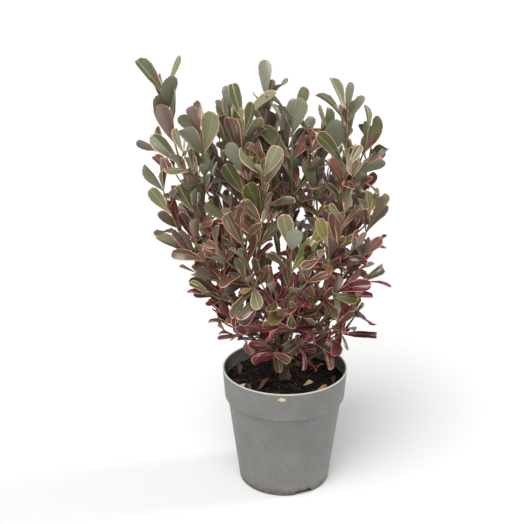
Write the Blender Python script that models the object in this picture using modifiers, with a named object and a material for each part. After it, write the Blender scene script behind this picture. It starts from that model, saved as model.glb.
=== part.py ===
"""Potted mirror bush: a bronze-leaved shrub in a grey nursery pot, in metres with +Z up.

The pot's axis is the Z axis, the underside of the pot is z = 0, and the front is -Y.
"""

import math
import random

import bmesh
import bpy
from mathutils import Matrix, Vector
from mathutils.bvhtree import BVHTree

# Clearance between pieces that touch on the real plant
GAP = 0.0003

# Pot: thin-walled and moulded, with a collar below the rim and three drain notches
POT_HEIGHT = 0.148
RIM_RADIUS = 0.075
COLLAR_HEIGHT = 0.036
COLLAR_FOOT_RADIUS = 0.0725
WALL_TOP_RADIUS = 0.069
FOOT_RADIUS = 0.055
WALL = 0.0016
LIP = 0.0022
POT_STEPS = 40
SOIL_STEPS = 24
FOOT_ROUND = 0.003
NOTCH_WIDTH = 0.022
NOTCH_HEIGHT = 0.006
NOTCH_INNER_RADIUS = 0.049
NOTCH_ANGLES = (-66.0, 54.0, 174.0)

# Peat: a low mound, a little under the rim
SOIL_CENTRE = 0.133
SOIL_EDGE = 0.130
SOIL_FLAT_RADIUS = 0.012

# Trunk: from the peat to the point where its top spray takes over
TRUNK_TOP = 0.300
TRUNK_LEAN = 0.006
TRUNK_RADIUS = 0.0046
TRUNK_TIP_RADIUS = 0.0022
ROOT_FLARE = 0.0036
FLARE_HEIGHT = 0.007

# Limbs
BOUGH_RADIUS = 0.0028
BOUGH_TIP_RADIUS = 0.0016
LIMB_BEND = math.radians(20)
BOUGH_POINTS = 4
TWIG_RADIUS = 0.0019
TWIG_TIP_RADIUS = 0.0011
TWIG_STEP = 0.030

# Leaves, obovate and in opposite pairs
LEAF_LENGTH = 0.045
LEAF_WIDTH = 0.020
LEAF_THICKNESS = 0.0013
LEAF_FOLD = 0.0022
NODE_SPACING = 0.026
FIRST_NODE = 0.010
LEAF_TRIES = 4
LEAF_NECK = 0.012
LEAF_LEAN = math.radians(42)
LOW_LEAF_LEAN = math.radians(72)
DROOP_TOP = 0.30
DROOP_BOTTOM = 0.18

# Side shoots
SIDE_ANGLE = math.radians(40)
SIDE_SHARE = 0.68
SIDE_FIRST = 0.04
SIDE_LAST = 0.52
SIDE_LEAST = 0.025
TWIG_SHARE = 0.84
GOLDEN_ANGLE = math.radians(137.5)

# Each spray: height it leaves the trunk, tip azimuth in degrees, tip reach, tip height,
# share of the limb that is a bare bough, side shoots
SPRAYS = {
    "crown_top": (TRUNK_TOP, -60, 0.012, 0.458, 0.0, 2),
    "tall_left": (0.205, -176, 0.134, 0.488, 0.30, 2),
    "left": (0.178, -168, 0.140, 0.378, 0.30, 3),
    "left_front": (0.192, -146, 0.122, 0.336, 0.30, 3),
    "low_left": (0.165, -171, 0.090, 0.256, 0.25, 3),
    "front_left": (0.200, -118, 0.110, 0.368, 0.30, 3),
    "front": (0.180, -88, 0.110, 0.345, 0.30, 3),
    "front_right": (0.195, -56, 0.108, 0.372, 0.30, 3),
    "top_back_left": (0.225, 150, 0.078, 0.440, 0.30, 2),
    "top_front_left": (0.240, -146, 0.058, 0.458, 0.30, 2),
    "top_back": (0.250, 122, 0.038, 0.470, 0.30, 2),
    "top_right": (0.235, -24, 0.070, 0.466, 0.30, 3),
    "right": (0.210, 18, 0.104, 0.420, 0.30, 3),
    "low_right": (0.200, -22, 0.100, 0.345, 0.30, 3),
    "side_spray": (0.148, -20, 0.092, 0.240, 0.50, 1),
    "back_right": (0.195, 58, 0.108, 0.388, 0.30, 3),
    "back": (0.215, 98, 0.102, 0.420, 0.30, 3),
    "back_left": (0.200, 138, 0.124, 0.392, 0.30, 3),
    "low_front": (0.160, -103, 0.062, 0.255, 0.0, 3),
    "low_front_right": (0.165, -48, 0.070, 0.262, 0.0, 3),
    "low_back": (0.160, 70, 0.068, 0.262, 0.0, 3),
    "low_back_left": (0.158, 146, 0.066, 0.250, 0.0, 3),
}

# The crown's outline: how far leaves reach from its axis at each height, and how far
# that axis has moved to the left of the pot's
CROWN_REACH = ((0.13, 0.060), (0.19, 0.084), (0.28, 0.130), (0.38, 0.148), (0.56, 0.148))
CROWN_SHIFT = ((0.28, 0.0), (0.38, -0.027))

# Colour, roughness
LOOKS = {
    "moulded_plastic": ((0.21, 0.21, 0.20), 0.55),
    "peat": ((0.018, 0.014, 0.012), 0.95),
    "bark": ((0.16, 0.13, 0.07), 0.75),
    "leaf_bronze": ((0.10, 0.07, 0.05), 0.45),
    "leaf_wine": ((0.13, 0.03, 0.04), 0.40),
    "leaf_sage": ((0.13, 0.15, 0.10), 0.50),
}


def clear_scene():
    for item in list(bpy.data.objects):
        bpy.data.objects.remove(item)
    for group in list(bpy.data.collections):
        bpy.data.collections.remove(group)


def new_collection(name):
    group = bpy.data.collections.new(name)
    bpy.context.scene.collection.children.link(group)
    return group


def material(name):
    """The named finish as a Principled material, made once."""
    found = bpy.data.materials.get(name)
    if found:
        return found
    colour, roughness = LOOKS[name]
    made = bpy.data.materials.new(name)
    made.use_nodes = True
    shader = made.node_tree.nodes["Principled BSDF"]
    shader.inputs["Base Color"].default_value = (*colour, 1.0)
    shader.inputs["Roughness"].default_value = roughness
    shader.inputs["Metallic"].default_value = 0.0
    return made


def new_object(name, data, group, look=None):
    made = bpy.data.objects.new(name, data)
    group.objects.link(made)
    if look:
        data.materials.append(material(look))
    return made


def arc(centre, radius, first, last, count):
    """Points (r, z) on an arc between two angles in degrees."""
    turns = [math.radians(first + (last - first) * k / (count - 1)) for k in range(count)]
    return [(centre[0] + radius * math.cos(a), centre[1] + radius * math.sin(a)) for a in turns]


def turned(name, profile, steps, group, look):
    """A profile of (r, z) points turned about Z by a Screw modifier."""
    mesh = bpy.data.meshes.new(name)
    outline = bmesh.new()
    corners = [outline.verts.new((r, 0.0, z)) for r, z in profile]
    for first, second in zip(corners[:-1], corners[1:]):
        outline.edges.new((first, second))
    outline.to_mesh(mesh)
    outline.free()
    made = new_object(name, mesh, group, look)
    screw = made.modifiers.new("turn", "SCREW")
    screw.axis = "Z"
    screw.steps = steps
    screw.render_steps = steps
    screw.use_merge_vertices = True
    screw.merge_threshold = 0.00001
    screw.use_smooth_shade = True
    return made


def pot_profile():
    """Inner floor, inner wall, rim, collar, outer wall and underside, as (r, z)."""
    step = POT_HEIGHT - COLLAR_HEIGHT
    inner_round = FOOT_ROUND - WALL / 2
    inner_foot = FOOT_RADIUS - WALL
    lip = LIP / 2
    points = [(0.0, WALL)]
    points += arc((inner_foot - inner_round, WALL + inner_round), inner_round, -90, 0, 2)
    points += [(WALL_TOP_RADIUS - WALL, step), (COLLAR_FOOT_RADIUS - WALL, step + WALL)]
    points += arc((RIM_RADIUS - lip, POT_HEIGHT - lip), lip, 180, 0, 5)
    points += [(COLLAR_FOOT_RADIUS, step + WALL / 2), (COLLAR_FOOT_RADIUS - WALL / 2, step)]
    points += [(WALL_TOP_RADIUS, step - WALL / 2)]
    points += arc((FOOT_RADIUS - FOOT_ROUND, FOOT_ROUND), FOOT_ROUND, 0, -90, 3)
    points += [(0.0, 0.0)]
    return points


def make_pot(parts, cutters):
    pot = turned("pot", pot_profile(), POT_STEPS, parts, "moulded_plastic")
    reach = 2 * WALL + FOOT_RADIUS - NOTCH_INNER_RADIUS
    for number, angle in enumerate(NOTCH_ANGLES, 1):
        block = bmesh.new()
        bmesh.ops.create_cube(block, size=1.0)
        bmesh.ops.scale(block, vec=(reach, NOTCH_WIDTH, 2 * NOTCH_HEIGHT), verts=block.verts)
        uprights = [e for e in block.edges if abs(e.verts[0].co.x - e.verts[1].co.x) > reach / 2]
        bmesh.ops.bevel(
            block, geom=uprights, offset=NOTCH_HEIGHT / 2, segments=3, profile=0.5, affect="EDGES"
        )
        turn = Matrix.Rotation(math.radians(angle), 4, "Z")
        place = Matrix.Translation((NOTCH_INNER_RADIUS + reach / 2, 0.0, 0.0))
        bmesh.ops.transform(block, matrix=turn @ place, verts=block.verts)
        mesh = bpy.data.meshes.new(f"notch_{number}")
        block.to_mesh(mesh)
        block.free()
        cutter = new_object(f"notch_{number}", mesh, cutters)
        cutter.hide_render = True
        cutter.display_type = "WIRE"
        cut = pot.modifiers.new(f"notch_{number}", "BOOLEAN")
        cut.operation = "DIFFERENCE"
        cut.object = cutter
    return pot


def soil_profile():
    """The underside, the side that follows the pot's wall, and the mound, as (r, z)."""
    step = POT_HEIGHT - COLLAR_HEIGHT
    clear = WALL + 2 * GAP
    slope = (RIM_RADIUS - COLLAR_FOOT_RADIUS) / COLLAR_HEIGHT
    edge = COLLAR_FOOT_RADIUS - clear + slope * (SOIL_EDGE - step)
    low = WALL + GAP
    top = [(0.0, SOIL_CENTRE), (SOIL_FLAT_RADIUS, SOIL_CENTRE)]
    for share in (0.4, 0.7, 1.0):
        radius = SOIL_FLAT_RADIUS + share * (edge - SOIL_FLAT_RADIUS)
        top.append((radius, SOIL_CENTRE - share**2 * (SOIL_CENTRE - SOIL_EDGE)))
    side = [(COLLAR_FOOT_RADIUS - clear, step + clear), (WALL_TOP_RADIUS - clear, step)]
    base = [(FOOT_RADIUS - clear, FOOT_ROUND + low), (FOOT_RADIUS - clear - FOOT_ROUND, low)]
    return top + side + base + [(0.0, low)]


def trunk_point(height):
    """The trunk's axis at this height: it stands nearly upright and leans a little right."""
    share = (height - SOIL_CENTRE) / (TRUNK_TOP - SOIL_CENTRE)
    bow = 0.0015 * math.sin(math.pi * share)
    return Vector((TRUNK_LEAN * share - bow, bow, height))


def trunk_radius(height):
    share = (height - SOIL_CENTRE) / (TRUNK_TOP - SOIL_CENTRE)
    flare = ROOT_FLARE * math.exp(-(height - SOIL_CENTRE) / FLARE_HEIGHT)
    return TRUNK_RADIUS + share * (TRUNK_TIP_RADIUS - TRUNK_RADIUS) + flare


def limb(name, points, radii, group, resolution=1):
    """A round tapering limb, made as a bevelled curve and turned into a mesh."""
    curve = bpy.data.curves.new(name, "CURVE")
    curve.dimensions = "3D"
    curve.bevel_depth = 1.0
    curve.bevel_resolution = resolution
    curve.use_fill_caps = True
    spline = curve.splines.new("POLY")
    spline.points.add(len(points) - 1)
    for place, point, radius in zip(spline.points, points, radii):
        place.co = (*point, 1.0)
        place.radius = radius
    guide = new_object(name + "_curve", curve, group)
    graph = bpy.context.evaluated_depsgraph_get()
    mesh = bpy.data.meshes.new_from_object(guide.evaluated_get(graph))
    bpy.data.objects.remove(guide)
    bpy.data.curves.remove(curve)
    shape = bmesh.new()
    shape.from_mesh(mesh)
    bmesh.ops.remove_doubles(shape, verts=shape.verts, dist=0.00001)
    bmesh.ops.recalc_face_normals(shape, faces=shape.faces)
    shape.to_mesh(mesh)
    shape.free()
    mesh.name = name
    mesh.shade_smooth()
    mesh.set_sharp_from_angle(angle=math.radians(50))
    return new_object(name, mesh, group, "bark")


def make_trunk(parts):
    start = SOIL_CENTRE + GAP
    rise = TRUNK_TOP - start
    heights = [start, start + 0.2 * FLARE_HEIGHT, start + 0.7 * FLARE_HEIGHT]
    heights += [start + rise * share for share in (0.1, 0.2, 0.35, 0.5, 0.65, 0.8, 0.92, 1.0)]
    points = [trunk_point(height) for height in heights]
    points[1].xy = points[0].xy
    return limb("trunk", points, [trunk_radius(height) for height in heights], parts, 2)


def bezier(start, start_way, tip, tip_way, count):
    """Points of a curve that leaves start along one way and arrives at tip along another."""
    arm = (tip - start).length * 0.36
    first = start + start_way * arm
    second = tip - tip_way * arm
    points = []
    for k in range(count):
        t = k / (count - 1)
        u = 1.0 - t
        points.append(u**3 * start + 3 * u * u * t * first + 3 * u * t * t * second + t**3 * tip)
    return points


def way(azimuth, lean):
    """A unit direction that leans this far from upright towards an azimuth."""
    flat = math.sin(lean)
    return Vector((flat * math.cos(azimuth), flat * math.sin(azimuth), math.cos(lean)))


def limb_line(row, count):
    """The whole limb of a spray, from beside the trunk to the tip of its main shoot."""
    leaves_at, azimuth, reach, height, share, _ = row
    azimuth = math.radians(azimuth)
    tip = Vector((reach * math.cos(azimuth), reach * math.sin(azimuth), height))
    root = trunk_point(leaves_at)
    if leaves_at == TRUNK_TOP:
        return bezier(root + Vector((0.0, 0.0, GAP)), way(0, 0), tip, way(0, 0), count)
    along = math.atan2((tip.xy - root.xy).length, height - leaves_at)
    start_way = way(azimuth, along + LIMB_BEND)
    thick = BOUGH_RADIUS if share else TWIG_RADIUS
    out = trunk_radius(leaves_at) + GAP + thick * abs(start_way.z)
    start = root + out * way(azimuth, math.pi / 2)
    return bezier(start, start_way, tip, way(azimuth, along - LIMB_BEND), count)


def split_line(points, share):
    """The bough's points and the main shoot's, with a gap between the two."""
    cut = round(share * (len(points) - 1))
    if cut == 0:
        return [], points
    onward = (points[cut + 1] - points[cut]).normalized()
    return points[: cut + 1], [points[cut] + GAP * onward] + points[cut + 1 :]


def spaced(points, step):
    """The same line with fewer points, about this far apart, and its ends kept."""
    length = sum((b - a).length for a, b in zip(points[:-1], points[1:]))
    count = max(2, round(length / step))
    return [point_on(points, length * k / count)[0] for k in range(count + 1)]


def line_length(points):
    return sum((b - a).length for a, b in zip(points[:-1], points[1:]))


def point_on(points, distance):
    """The point this far along a line, and the line's direction there."""
    for a, b in zip(points[:-1], points[1:]):
        run = (b - a).length
        if distance <= run or b is points[-1]:
            return a + (b - a) * min(distance / run, 1.0), (b - a) / run
        distance -= run
    return points[-1], (points[-1] - points[-2]).normalized()


def across(tangent, turn):
    """A unit direction square to the tangent, turned about it."""
    flat = tangent.cross(Vector((0.0, 0.0, 1.0)))
    if flat.length < 0.05:
        flat = tangent.cross(Vector((0.0, 1.0, 0.0)))
    return Matrix.Rotation(turn, 3, tangent) @ flat.normalized()


def side_lines(main, count, luck):
    """Side shoots that leave the main shoot round it in turn and bend upwards."""
    length = line_length(main)
    lines = []
    turn = luck.uniform(0, 2 * math.pi)
    for number in range(count):
        share = SIDE_FIRST + (SIDE_LAST - SIDE_FIRST) * (number + luck.random()) / count
        root, tangent = point_on(main, share * length)
        turn += GOLDEN_ANGLE + luck.uniform(-0.3, 0.3)
        out = across(tangent, turn)
        start_way = tangent * math.cos(SIDE_ANGLE) + out * math.sin(SIDE_ANGLE)
        run = length * (1 - share) * SIDE_SHARE * luck.uniform(0.85, 1.1) + 0.012
        tip_way = (tangent + Vector((0, 0, 0.35)) + 0.35 * out).normalized()
        tip = root + run * (start_way + tip_way).normalized()
        while run > SIDE_LEAST and not in_crown(tip, TWIG_SHARE):
            run *= 0.85
            tip = root + run * (start_way + tip_way).normalized()
        if run > SIDE_LEAST:
            lines.append(bezier(root, start_way, tip, tip_way, 9))
    return lines


def leaf_places(line, luck, first):
    """Opposite pairs of leaves up a shoot. Each leaf is a list of ways it may stand,
    as (root, direction, face, length), of which the first that is free is taken."""
    length = line_length(line)
    places = []
    distance = first
    turn = luck.uniform(0, math.pi)
    while distance < length + 0.4 * NODE_SPACING:
        share = min(distance / length, 1.0)
        root, tangent = point_on(line, min(distance, length - 0.001))
        low = min(max((DROOP_TOP - root.z) / (DROOP_TOP - DROOP_BOTTOM), 0.0), 1.0)
        lean = LEAF_LEAN + low * (LOW_LEAF_LEAN - LEAF_LEAN)
        lean *= 1.0 - 0.35 * share
        size = LEAF_LENGTH * (0.78 + 0.34 * math.sin(math.pi * min(0.15 + 0.75 * share, 1.0)))
        for side in (0, 1):
            ways = []
            for attempt in range(LEAF_TRIES):
                out = across(tangent, turn + side * math.pi + luck.uniform(-0.4, 0.4))
                tilt = lean * luck.uniform(0.75, 1.3) * (1.0 - 0.17 * attempt)
                direction = tangent * math.cos(tilt) + out * math.sin(tilt)
                direction.z -= 0.45 * low * luck.uniform(0.2, 1.2)
                direction.normalize()
                face = tangent - direction * tangent.dot(direction)
                roll = Matrix.Rotation(luck.uniform(-0.6, 0.6), 3, direction)
                blade = size * luck.uniform(0.85, 1.12)
                ways.append((root, direction, roll @ face.normalized(), blade))
            places.append(ways)
        turn += math.pi / 2 + luck.uniform(-0.2, 0.2)
        distance += NODE_SPACING * luck.uniform(0.9, 1.15)
    return places


def past_neck(place):
    """The same leaf without its neck, where it may meet its twig and its pair."""
    root, direction, face, length = place
    return root + LEAF_NECK * direction, direction, face, length - LEAF_NECK


def leaf_mesh(place, grow=0.0):
    """One leaf: a thin four-cornered blade, its sides folded up and its tip bent back."""
    root, direction, face, length = place
    half = LEAF_WIDTH * length / LEAF_LENGTH / 2 + grow
    thick = LEAF_THICKNESS / 2 + grow
    outline = {
        0: (-0.0003, 0.0, 0.0),
        1: (0.64 * length, half, LEAF_FOLD),
        2: (length + grow, 0.0, -0.4 * LEAF_FOLD),
        3: (0.64 * length, -half, LEAF_FOLD),
    }
    shape = bmesh.new()
    bmesh.ops.create_uvsphere(shape, u_segments=4, v_segments=2, radius=1.0)
    ring = sorted(
        (v for v in shape.verts if abs(v.co.z) < 0.5),
        key=lambda v: math.atan2(v.co.y, v.co.x) % (2 * math.pi),
    )
    for number, corner in enumerate(ring):
        corner.co = outline[number]
    for pole in shape.verts:
        if pole not in ring:
            pole.co = (0.30 * length, 0.0, math.copysign(thick, pole.co.z))
    frame = Matrix((direction, face.cross(direction), face)).transposed().to_4x4()
    bmesh.ops.transform(shape, matrix=Matrix.Translation(root) @ frame, verts=shape.verts)
    bmesh.ops.recalc_face_normals(shape, faces=shape.faces)
    return shape


def twig_mesh(line, thick, thin, grow=0.0):
    """A three-sided tapering twig along a line, closed at both ends."""
    shape = bmesh.new()
    tangent = (line[1] - line[0]).normalized()
    side = across(tangent, 0.0)
    rings = []
    for number, point in enumerate(line):
        before = line[max(number - 1, 0)]
        after = line[min(number + 1, len(line) - 1)]
        tangent = (after - before).normalized()
        side = (side - tangent * side.dot(tangent)).normalized()
        radius = thick + (thin - thick) * number / (len(line) - 1) + grow
        frame = Matrix((side, tangent.cross(side), tangent)).transposed().to_4x4()
        ends = number in (0, len(line) - 1)
        made = bmesh.ops.create_circle(
            shape,
            cap_ends=ends,
            segments=3,
            radius=radius,
            matrix=Matrix.Translation(point) @ frame,
        )
        corners = set(made["verts"])
        rings.append([e for e in shape.edges if corners.issuperset(e.verts)])
    for first, second in zip(rings[:-1], rings[1:]):
        bmesh.ops.bridge_loops(shape, edges=first + second)
    bmesh.ops.recalc_face_normals(shape, faces=shape.faces)
    return shape


def tree_of(shape):
    """A search tree of a bmesh, which is then freed."""
    bmesh.ops.triangulate(shape, faces=shape.faces)
    tree = BVHTree.FromBMesh(shape)
    shape.free()
    return tree


def tree_of_object(item):
    graph = bpy.context.evaluated_depsgraph_get()
    return BVHTree.FromObject(item, graph)


def nearest_line(point, lines):
    """The least distance from a point to any of these lines' points."""
    return min((point - place).length_squared for line in lines for place in line)


def between(steps, height):
    """The value at a height, from (height, value) steps."""
    for (low, first), (high, second) in zip(steps[:-1], steps[1:]):
        if height < high:
            share = max((height - low) / (high - low), 0.0)
            return first + share * (second - first)
    return steps[-1][1]


def in_crown(point, share=1.0):
    shift = between(CROWN_SHIFT, point.z)
    return math.hypot(point.x - shift, point.y) < share * between(CROWN_REACH, point.z)


class Spray:
    """One mass of foliage: its lines, and the twigs and leaves that were kept."""

    def __init__(self, name, row, number):
        self.name = name
        self.luck = random.Random(1000 + number)
        whole = limb_line(row, 61)
        self.bough, self.main = split_line(whole, row[4])
        self.sides = side_lines(self.main, row[5], self.luck)
        self.free = name == "side_spray"
        self.shapes = []
        self.trees = []

    def lines(self):
        return [self.main] + self.sides

    def keep(self, shape, tree):
        self.shapes.append(shape)
        self.trees.append(tree)


def touches(tree, others):
    return any(tree.overlap(other) for other in others)


def grow_twigs(sprays, limbs):
    """Every spray's twigs. A side twig that would touch a limb or another spray is skipped."""
    for spray in sprays:
        line = spaced(spray.main, TWIG_STEP)
        spray.keep(
            twig_mesh(line, TWIG_RADIUS, TWIG_TIP_RADIUS),
            tree_of(twig_mesh(line[1:], TWIG_RADIUS, TWIG_TIP_RADIUS, GAP)),
        )
    for spray in sprays:
        kept = []
        rivals = limbs + [tree for other in sprays if other is not spray for tree in other.trees]
        for side in spray.sides:
            line = spaced(side, TWIG_STEP)
            grown = twig_mesh(line, TWIG_RADIUS, TWIG_TIP_RADIUS, 2 * GAP)
            tree = tree_of(grown)
            if not touches(tree, rivals):
                kept.append(side)
                spray.keep(twig_mesh(line, TWIG_RADIUS * 0.9, TWIG_TIP_RADIUS), tree)
        spray.sides = kept


def grow_leaves(sprays, limbs):
    """Every spray's leaves. One that leaves its spray's space, or touches, is skipped."""
    for spray in sprays:
        rest = [other for other in sprays if other is not spray]
        foreign = [line for other in rest for line in other.lines()]
        rivals = limbs + [tree for other in rest for tree in other.trees]
        for line in spray.lines():
            first = FIRST_NODE if line is not spray.main else 2 * FIRST_NODE
            for ways in leaf_places(line, spray.luck, first):
                for place in ways:
                    root, direction, _, length = place
                    middle = root + 0.6 * length * direction
                    if nearest_line(middle, spray.lines()) > nearest_line(middle, foreign):
                        continue
                    if not spray.free and not in_crown(root + length * direction):
                        continue
                    tree = tree_of(leaf_mesh(place, 2 * GAP))
                    blade = tree_of(leaf_mesh(past_neck(place), GAP))
                    if not touches(tree, rivals) and not touches(blade, spray.trees):
                        spray.keep(leaf_mesh(place), tree)
                        break


def shell_volumes(shape):
    """The shape's separate shells, each as (volume, faces)."""
    left = set(shape.faces)
    shells = []
    while left:
        stack = [left.pop()]
        faces = []
        while stack:
            face = stack.pop()
            faces.append(face)
            for edge in face.edges:
                for other in edge.link_faces:
                    if other in left:
                        left.remove(other)
                        stack.append(other)
        volume = 0.0
        for face in faces:
            corners = [v.co for v in face.verts]
            for b, c in zip(corners[1:-1], corners[2:]):
                volume += corners[0].dot(b.cross(c)) / 6
        shells.append((volume, faces))
    return sorted(shells, key=lambda shell: shell[0])


def fuse(name, shapes, parts, look):
    """One closed body from overlapping shapes. Loose scraps and sealed hollows go."""
    pieces = bpy.data.collections.new(name + "_pieces")
    bpy.context.scene.collection.children.link(pieces)
    made = []
    for number, shape in enumerate(shapes):
        mesh = bpy.data.meshes.new(f"{name}_{number}")
        shape.to_mesh(mesh)
        shape.free()
        made.append(bpy.data.objects.new(f"{name}_{number}", mesh))
    stem = made[0]
    bpy.context.scene.collection.objects.link(stem)
    for piece in made[1:]:
        pieces.objects.link(piece)
    join = stem.modifiers.new("join", "BOOLEAN")
    join.operation = "UNION"
    join.operand_type = "COLLECTION"
    join.collection = pieces
    join.solver = "EXACT"
    graph = bpy.context.evaluated_depsgraph_get()
    mesh = bpy.data.meshes.new_from_object(stem.evaluated_get(graph))
    for piece in made:
        bpy.data.objects.remove(piece)
    bpy.data.collections.remove(pieces)
    whole = bmesh.new()
    whole.from_mesh(mesh)
    bmesh.ops.triangulate(whole, faces=whole.faces)
    for _, faces in shell_volumes(whole)[:-1]:
        bmesh.ops.delete(whole, geom=faces, context="FACES")
    whole.to_mesh(mesh)
    whole.free()
    mesh.materials.clear()
    mesh.name = name
    return new_object(name, mesh, parts, look)


def spray_look(row):
    """Wine-red low down, bronze in the middle and sage at the top."""
    height = row[3]
    if height < 0.30:
        return "leaf_wine"
    return "leaf_sage" if height > 0.44 else "leaf_bronze"


def main():
    clear_scene()
    parts = new_collection("potted_mirror_bush")
    cutters = new_collection("cutters")
    pot = make_pot(parts, cutters)
    soil = turned("soil", soil_profile(), SOIL_STEPS, parts, "peat")
    trunk = make_trunk(parts)
    sprays = [Spray(name, row, number) for number, (name, row) in enumerate(SPRAYS.items())]
    limbs = [pot, soil, trunk]
    for spray in sprays:
        if not spray.bough:
            continue
        line = spaced(spray.bough, line_length(spray.bough) / BOUGH_POINTS)
        radii = [
            BOUGH_RADIUS + (BOUGH_TIP_RADIUS - BOUGH_RADIUS) * k / BOUGH_POINTS
            for k in range(len(line))
        ]
        limbs.append(limb("bough_" + spray.name, line, radii, parts))
    bpy.context.view_layer.update()
    trees = [tree_of_object(item) for item in limbs]
    grow_twigs(sprays, trees)
    grow_leaves(sprays, trees)
    for spray in sprays:
        fuse("foliage_" + spray.name, spray.shapes, parts, spray_look(SPRAYS[spray.name]))


main()
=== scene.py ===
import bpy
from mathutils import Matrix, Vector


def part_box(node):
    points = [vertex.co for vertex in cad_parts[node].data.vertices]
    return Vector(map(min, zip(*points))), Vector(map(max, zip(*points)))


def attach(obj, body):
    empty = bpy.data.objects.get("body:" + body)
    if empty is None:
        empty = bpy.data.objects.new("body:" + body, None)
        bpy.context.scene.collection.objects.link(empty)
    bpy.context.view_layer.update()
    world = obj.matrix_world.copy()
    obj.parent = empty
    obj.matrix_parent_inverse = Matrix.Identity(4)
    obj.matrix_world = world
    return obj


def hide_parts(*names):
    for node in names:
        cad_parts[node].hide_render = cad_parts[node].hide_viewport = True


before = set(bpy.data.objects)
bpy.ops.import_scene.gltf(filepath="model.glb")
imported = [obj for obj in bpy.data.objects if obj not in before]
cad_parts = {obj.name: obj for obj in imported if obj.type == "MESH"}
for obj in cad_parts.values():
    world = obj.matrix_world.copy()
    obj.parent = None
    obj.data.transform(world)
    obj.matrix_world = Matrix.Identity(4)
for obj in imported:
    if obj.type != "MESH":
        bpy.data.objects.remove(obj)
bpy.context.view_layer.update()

import math
import random

import bmesh
import bpy
from mathutils import Matrix, Vector, noise

# Potted mirror bush: the looks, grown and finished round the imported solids. Metres, +Z up.

roundTurn = 6.28  # radians, near enough for a random turn or a ripple


def linear(code):
    parts = [int(code[k:k + 2], 16) / 255 for k in (1, 3, 5)]
    return [c / 12.92 if c <= 0.04045 else ((c + 0.055) / 1.055) ** 2.4 for c in parts] + [1.0]


def perMetre(millimetres):
    # A pattern's scale from the real size of one grain, cell or streak
    return 1000 / millimetres


def addNode(tree, kind, values=None, links=None, stops=(), **settings):
    # One node with its settings, plain values, links and any colour stops
    node = tree.nodes.new(kind)
    for name, value in settings.items():
        setattr(node, name, value)
    for name, value in (values or {}).items():
        node.inputs[name].default_value = value
    for name, source in (links or {}).items():
        tree.links.new(source, node.inputs[name])
    marks = node.color_ramp.elements if stops else []
    while len(marks) < len(stops):
        marks.new(0.5)
    for mark, (place, colour) in zip(marks, stops):
        mark.position = place
        mark.color = linear(colour) if isinstance(colour, str) else (colour,) * 3 + (1.0,)
    return node


def newMaterial(name):
    made = bpy.data.materials.new(name)
    made.use_nodes = True
    return made, made.node_tree, made.node_tree.nodes["Principled BSDF"]


def finish(name, shape, materials, nodes=(), sharp=60):
    # A bmesh becomes a smooth-shaded piece on the part's one body
    mesh = bpy.data.meshes.new(name)
    shape.to_mesh(mesh)
    shape.free()
    for look in materials:
        mesh.materials.append(look)
    mesh.shade_smooth()
    mesh.set_sharp_from_angle(angle=math.radians(sharp))
    piece = bpy.data.objects.new(name, mesh)
    bpy.context.scene.collection.objects.link(piece)
    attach(piece, "root")
    if nodes:
        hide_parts(*nodes)


def joinInto(shape, part):
    mesh = bpy.data.meshes.new("joining")
    part.to_mesh(mesh)
    part.free()
    shape.from_mesh(mesh)
    bpy.data.meshes.remove(mesh)


def arc(centre, radius, first, last, count):
    turns = [math.radians(first + (last - first) * k / (count - 1)) for k in range(count)]
    return [(centre[0] + radius * math.cos(a), centre[1] + radius * math.sin(a)) for a in turns]


def turned(profile, steps):
    # A profile of (r, z) points spun about the pot's axis
    shape = bmesh.new()
    chain = [shape.verts.new((r, 0.0, z)) for r, z in profile]
    edges = [shape.edges.new(pair) for pair in zip(chain[:-1], chain[1:])]
    bmesh.ops.spin(
        shape,
        geom=chain + edges,
        cent=(0, 0, 0),
        axis=(0, 0, 1),
        dvec=(0, 0, 0),
        angle=2 * math.pi,
        steps=steps,
        use_merge=True,
    )
    bmesh.ops.remove_doubles(shape, verts=shape.verts, dist=0.00001)
    bmesh.ops.recalc_face_normals(shape, faces=shape.faces)
    return shape


# The studio: white paper, an even sky, a broad light from the front left and a weaker one
# from the right
studio = {
    "floorSize": 60.0,
    "floor": "#e6e6e5",
    "floorRough": 0.9,
    "sky": "#ffffff",
    "skyStrength": 0.50,
    "keyLight": ((-0.60, -1.25, 2.4), 42, 2.8),  # comes from, softness in degrees, strength
    "sideLight": ((1.5, 0.30, 1.1), 18, 1.0),
    "lit": (0.0, 0.0, 0.25),  # the point that the lights aim at
}

photoCamera = {
    "place": (-0.0275, -1.251, 0.762),
    "pitch": 20.98,  # degrees below level
    "lens": 79.0,
    "sensor": 36.0,
    "sees": 60.0,  # as far as the floor is wide
}


def layFloor():
    floor = bmesh.new()
    bmesh.ops.create_grid(floor, x_segments=1, y_segments=1, size=studio["floorSize"] / 2)
    mesh = bpy.data.meshes.new("studio_floor")
    floor.to_mesh(mesh)
    floor.free()
    made, _, shader = newMaterial("studio_paper")
    shader.inputs["Base Color"].default_value = linear(studio["floor"])
    shader.inputs["Roughness"].default_value = studio["floorRough"]
    mesh.materials.append(made)
    ground = bpy.data.objects.new("studio_floor", mesh)
    bpy.context.scene.collection.objects.link(ground)


def hangLights():
    world = bpy.data.worlds.new("studio")
    world.use_nodes = True
    sky = world.node_tree.nodes["Background"]
    sky.inputs["Color"].default_value = linear(studio["sky"])
    sky.inputs["Strength"].default_value = studio["skyStrength"]
    bpy.context.scene.world = world
    for name in ("keyLight", "sideLight"):
        place, softness, strength = studio[name]
        lamp = bpy.data.lights.new(name, "SUN")
        lamp.angle = math.radians(softness)
        lamp.energy = strength
        holder = bpy.data.objects.new(name, lamp)
        holder.location = place
        aim = Vector(studio["lit"]) - Vector(place)
        holder.rotation_euler = aim.to_track_quat("-Z", "Y").to_euler()
        bpy.context.scene.collection.objects.link(holder)


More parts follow.
